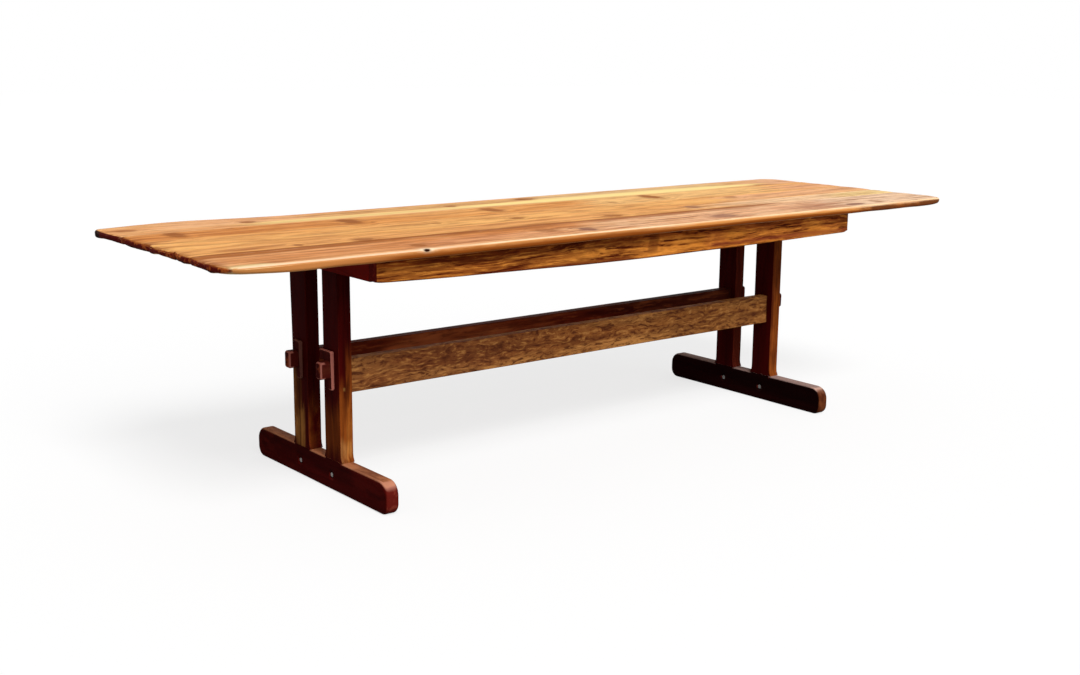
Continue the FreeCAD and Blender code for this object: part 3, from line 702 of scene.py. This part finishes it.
# where each post's dark coat is worn through, and where the right posts' front faces are painted
# lighter, as painted light
post_looks = {
    "post_left_front": (
        dict(side="-Y", x=(-0.959, -0.952, 0.002), z=(0.313, 0.322, 0.003), strength=0.9,
             colour=srgb(206, 158, 84)),
        dict(side="-Y", z=(0.13, 0.30, 0.05), strength=0.85, colour=EMBER),
        dict(side="-Y", x=(-0.950, -0.9, 0.004), z=(0.05, 0.42, 0.06), strength=0.7, colour=EMBER),
        dict(side="-Y", z=(0.09, 0.16, 0.02), strength=0.7, colour=srgb(190, 130, 70), spotty=True),
        dict(side="-Y", x=(-0.948, -0.9, 0.004), z=(0.09, 0.27, 0.04), strength=0.5,
             colour=srgb(196, 124, 52), spotty=True),
        dict(side="X", z=(0.12, 0.25, 0.04), strength=0.5, colour=EMBER)),
    "post_left_rear": (
        dict(side="X", y=(0.06, 0.13, 0.008), z=(0.10, 0.29, 0.05), strength=0.6,
             colour=srgb(128, 74, 32)),
        dict(side="X", y=(0.05, 0.13, 0.006), z=(0.10, 0.29, 0.05), strength=0.8, colour=STRAW,
             spotty=True),
        dict(side="-Y", z=(0.10, 0.25, 0.05), strength=0.6, colour=EMBER, spotty=True)),
    "post_right_front": (
        dict(side="-Y", x=(0.880, 0.93, 0.003), strength=0.75, colour=EMBER),
        # painted light: the whole front face lighter, as a face the lamps fall on
        dict(side="-Y", strength=0.62, colour=EMBER),
        dict(side="-Y", z=(0.09, 0.28, 0.04), strength=0.7, colour=srgb(150, 78, 28)),
        dict(side="-Y", strength=0.45, colour=srgb(84, 30, 16), spotty=True)),
    "post_right_rear": (
        # painted light: the whole front face lighter, as a face the lamps fall on
        dict(side="-Y", strength=0.7, colour=srgb(112, 42, 24)),),
}
# edges worn lighter in spots, which also stand as a painted highlight along the arrises
post_marks = (dict(edge=True, strength=0.4, colour=srgb(112, 40, 24), spotty=True),)
# the axis and side of a post's hollow, its height, its reach and its depth
post_hollows = {
    "post_left_rear": (1, 1, 0.67, 0.30, -0.006),
    "post_right_rear": (0, 1, 0.19, 0.12, 0.013),
}
for number, (node, patches) in enumerate(post_looks.items()):
    look = wood("wood_" + node, "Z", seed=9 + number, light=MAROON, middle=srgb(60, 7, 6),
                dark=MAROON_DEEP, end=MAROON_END, streak=0.7, patches=patches, marks=post_marks)
    shape = wear_stick(5 + number, 0.0009, 2)
    if node in post_hollows:
        shape = with_hollow(shape, *post_hollows[node])
    carve(node, (0.014, 0.014, 0.012), with_flare(shape), look)

# ---------------------------------------------------------------- feet
UPPER = (0.085, 0.12, 0.004)     # the heights of a foot's upper face and its arrises
foot_looks = {
    "foot_left": (
        dict(side="+Z", z=UPPER, strength=0.8, colour=srgb(188, 120, 80)),
        dict(side="+Z", z=UPPER, strength=0.75, colour=srgb(100, 50, 32), spotty=True),
        dict(side="X", y=(0.1, 0.5, 0.05), strength=0.7, colour=srgb(92, 20, 12), spotty=True),
        dict(side="X", y=(-0.5, -0.2, 0.05), strength=0.5, colour=srgb(88, 16, 12), spotty=True),
        # the toe slope and the upper arrises carry a painted highlight
        dict(side="+Z", y=(-0.5, -0.36, 0.02), strength=0.6, colour=srgb(206, 140, 118),
             edge=True),
        dict(side="+Z", z=UPPER, strength=0.4, colour=srgb(190, 128, 96), edge=True)),
    "foot_right": (
        # painted reflection: the upper face given a greyish pink sheen
        dict(side="+Z", z=UPPER, strength=0.8, colour=srgb(168, 138, 130)),
        # the toe's upper arrises carry a painted highlight
        dict(side="+Z", y=(-0.5, -0.36, 0.02), strength=0.7, colour=srgb(226, 180, 160),
             edge=True),
        dict(side="-Y", y=(-0.5, -0.38, 0.005), strength=0.85, colour=srgb(112, 62, 32)),
        dict(side="-Y", y=(-0.5, -0.37, 0.005), strength=0.75, colour=srgb(62, 24, 14),
             spotty=True)),
}
foot_tones = {
    "foot_left": dict(light=srgb(70, 8, 6), middle=srgb(54, 5, 4), dark=srgb(34, 2, 2)),
    "foot_right": dict(light=srgb(34, 5, 5), middle=srgb(22, 3, 3), dark=srgb(12, 2, 2)),
}
for number, (node, marks) in enumerate(foot_looks.items()):
    look = wood("wood_" + node, "Y", seed=14 + number, end=(srgb(94, 24, 18), srgb(118, 46, 34)),
                ring_depth=0.2, marks=marks, **foot_tones[node])
    carve(node, (0.014, 0.016, 0.014), wear_stick(11 + number, 0.0012, 1), look)

# ---------------------------------------------------------------- stretchers
TENON = dict(strength=0.95, colour=srgb(76, 20, 16))
TENON_END = (srgb(66, 14, 12), srgb(136, 60, 30))
stretcher_marks = [dict(TENON, x=limits) for limits in ((-1.1, -0.962, 0.001), (0.902, 1.1, 0.001))]
stretcher_marks = [dict(mark, side=side) for mark in stretcher_marks for side in ("Y", "Z")]
# the left tenons' arrises get a rose painted highlight
stretcher_marks.append(dict(edge=True, x=(-1.1, -1.0, 0.002), strength=0.75, colour=ROSE_HIGHLIGHT))
stretcher_wood = wood("wood_stretcher_front", "X", seed=17, light=srgb(200, 138, 74),
                      middle=srgb(142, 84, 42), dark=srgb(74, 34, 20), end=TENON_END,
                      figure=(20.0, 115.0, 0.85), bump=0.8, streak=0.4,
                      patches=[dict(x=(-1.2, -0.3, 0.15), strength=0.5, colour=srgb(116, 64, 38)),
                               dict(x=(0.3, 1.0, 0.15), strength=0.5, colour=srgb(116, 64, 28))],
                      marks=stretcher_marks)
carve("stretcher_front", (0.014, 0.012, 0.012), wear_stick(21, 0.0014, 0), stretcher_wood)
rear_wood = wood("wood_stretcher_rear", "X", seed=18, light=srgb(158, 82, 44),
                 middle=srgb(100, 32, 14), dark=srgb(48, 9, 6), end=TENON_END,
                 figure=(8.0, 90.0, 0.45),
                 patches=[dict(x=(0.25, 1.1, 0.15), strength=0.9, colour=srgb(48, 7, 7))],
                 marks=stretcher_marks)
carve("stretcher_rear", (0.014, 0.012, 0.012), wear_stick(22, 0.0009, 0), rear_wood)

# ---------------------------------------------------------------- keys
# the keys' front faces, arrises and ends get a painted highlight, dimmer on the rear row
key_highlights = {"front": ROSE_HIGHLIGHT, "rear": srgb(124, 78, 66)}
key_woods = {
    row: wood("wood_key_" + row, "Z", seed=19, light=srgb(78, 22, 18), middle=srgb(62, 14, 12),
              dark=srgb(40, 7, 6), end=(tone, tone),
              marks=(dict(side="-Y", strength=0.85, colour=tone),
                     dict(edge=True, strength=0.7, colour=tone)))
    for row, tone in key_highlights.items()
}
for number, node in enumerate(("key_left_front", "key_left_rear",
                               "key_right_front", "key_right_rear")):
    look = key_woods[node.split("_")[-1]]
    carve(node, (0.006, 0.006, 0.007), wear_stick(31 + number, 0.0004, 2), look)

# ---------------------------------------------------------------- pieces kept in their CAD form
hidden_wood = wood("wood_hidden", "Y", seed=23, light=srgb(214, 176, 128),
                   middle=srgb(190, 148, 100), dark=srgb(140, 98, 60),
                   end=(srgb(150, 110, 70), srgb(176, 134, 88)), gloss=0.05)
bolt_steel = steel("zinc_bright", srgb(224, 222, 218), 0.3)
screw_steel = steel("zinc_yellow", srgb(206, 190, 140), 0.3)
carried = {
    "centre_batten": hidden_wood, "tongue_1": hidden_wood, "tongue_2": hidden_wood,
    "tongue_3": hidden_wood, "tongue_4": hidden_wood, "bearer_pegs": hidden_wood,
    "foot_bolts": bolt_steel, "foot_bolt_washers": bolt_steel, "foot_bolt_nuts": bolt_steel,
    "bearer_screws": screw_steel, "batten_screws": screw_steel, "apron_screws": screw_steel,
}
for node, material in carried.items():
    materials = frame["nodes"][node].data.materials
    materials.clear()
    materials.append(material)


# ---------------------------------------------------------------- the studio
FLOOR_SIZE = 60
FLOOR_SEEN = 0.27           # how strongly the camera sees light and shadow on the floor
FLOOR_LIFT = 0.73           # and how much white lies under them
FLOOR_BOUNCE = 0.30         # what the floor throws back at the table
SKY = 0.36                  # the even light on the table


def grey(level):
    """A colour without hue."""
    return (level, level, level, 1)


def plain_stage():
    """A pale floor that keeps the table's shadow."""
    bpy.ops.mesh.primitive_plane_add(size=FLOOR_SIZE)
    floor = bpy.context.object
    floor.name = "studio_floor"
    n = Nodes("studio_floor")
    tree = n.tree
    tree.nodes.remove(n.shader)
    seen = n.add("LightPath", {}).outputs["Is Camera Ray"]
    for_camera = n.add("AddShader", {
        0: n.add("BsdfDiffuse", {"Color": grey(FLOOR_SEEN)}).outputs[0],
        1: n.add("Emission", {"Color": grey(1), "Strength": FLOOR_LIFT}).outputs[0],
    }).outputs[0]
    for_light = n.add("BsdfDiffuse", {"Color": grey(FLOOR_BOUNCE)}).outputs[0]
    mixed = n.add("MixShader", {0: seen, 1: for_light, 2: for_camera}).outputs[0]
    n.feed(tree.nodes["Material Output"].inputs["Surface"], mixed)
    floor.data.materials.append(n.material)


def world_light(strength):
    """Even light from all round, seen by the camera and in reflections as plain white."""
    world = bpy.data.worlds.new("studio")
    bpy.context.scene.world = world
    world.use_nodes = True
    nodes = world.node_tree.nodes
    links = world.node_tree.links
    background = nodes["Background"]
    background.inputs["Color"].default_value = grey(1)
    path = nodes.new("ShaderNodeLightPath")
    shown = path.outputs["Is Camera Ray"]
    for ray in ("Is Glossy Ray", "Is Transmission Ray"):
        either = nodes.new("ShaderNodeMath")
        either.operation = "MAXIMUM"
        links.new(shown, either.inputs[0])
        links.new(path.outputs[ray], either.inputs[1])
        shown = either.outputs[0]
    level = nodes.new("ShaderNodeMapRange")
    level.inputs["To Min"].default_value = strength
    level.inputs["To Max"].default_value = 1.0
    links.new(shown, level.inputs["Value"])
    links.new(level.outputs["Result"], background.inputs["Strength"])


def soft_sun(name, towards, strength, width):
    """A broad, distant lamp, width degrees across; towards points from the table to it."""
    lamp = bpy.data.lights.new(name, "SUN")
    lamp.energy = strength
    lamp.angle = math.radians(width)
    made = bpy.data.objects.new(name, lamp)
    bpy.context.scene.collection.objects.link(made)
    made.rotation_euler = Vector(towards).to_track_quat("Z", "Y").to_euler()


plain_stage()
world_light(SKY)
soft_sun("front_high", (-0.23, -0.85, 1.00), 2.30, 25)
soft_sun("front_low", (0.0, -0.90, 0.45), 0.80, 30)

# ---------------------------------------------------------------- the camera
CAMERA_PLACE = (-2.9623, -3.5774, 1.3097)
CAMERA_YAW = math.radians(38.650)     # from +Y towards +X
CAMERA_PITCH = math.radians(11.964)   # downwards
CAMERA_ROLL = math.radians(0.537)
CAMERA_LENS = 46.37                   # on a sensor 36 mm wide

camera = bpy.data.objects.new("camera", bpy.data.cameras.new("camera"))
bpy.context.scene.collection.objects.link(camera)
camera.data.lens = CAMERA_LENS
level_view = (Matrix.Rotation(-CAMERA_YAW, 4, "Z")
              @ Matrix.Rotation(math.pi / 2 - CAMERA_PITCH, 4, "X"))
camera.matrix_world = (Matrix.Translation(CAMERA_PLACE) @ level_view
                       @ Matrix.Rotation(CAMERA_ROLL, 4, "Z"))
bpy.context.scene.camera = camera
bpy.context.scene.view_settings.view_transform = "Standard"
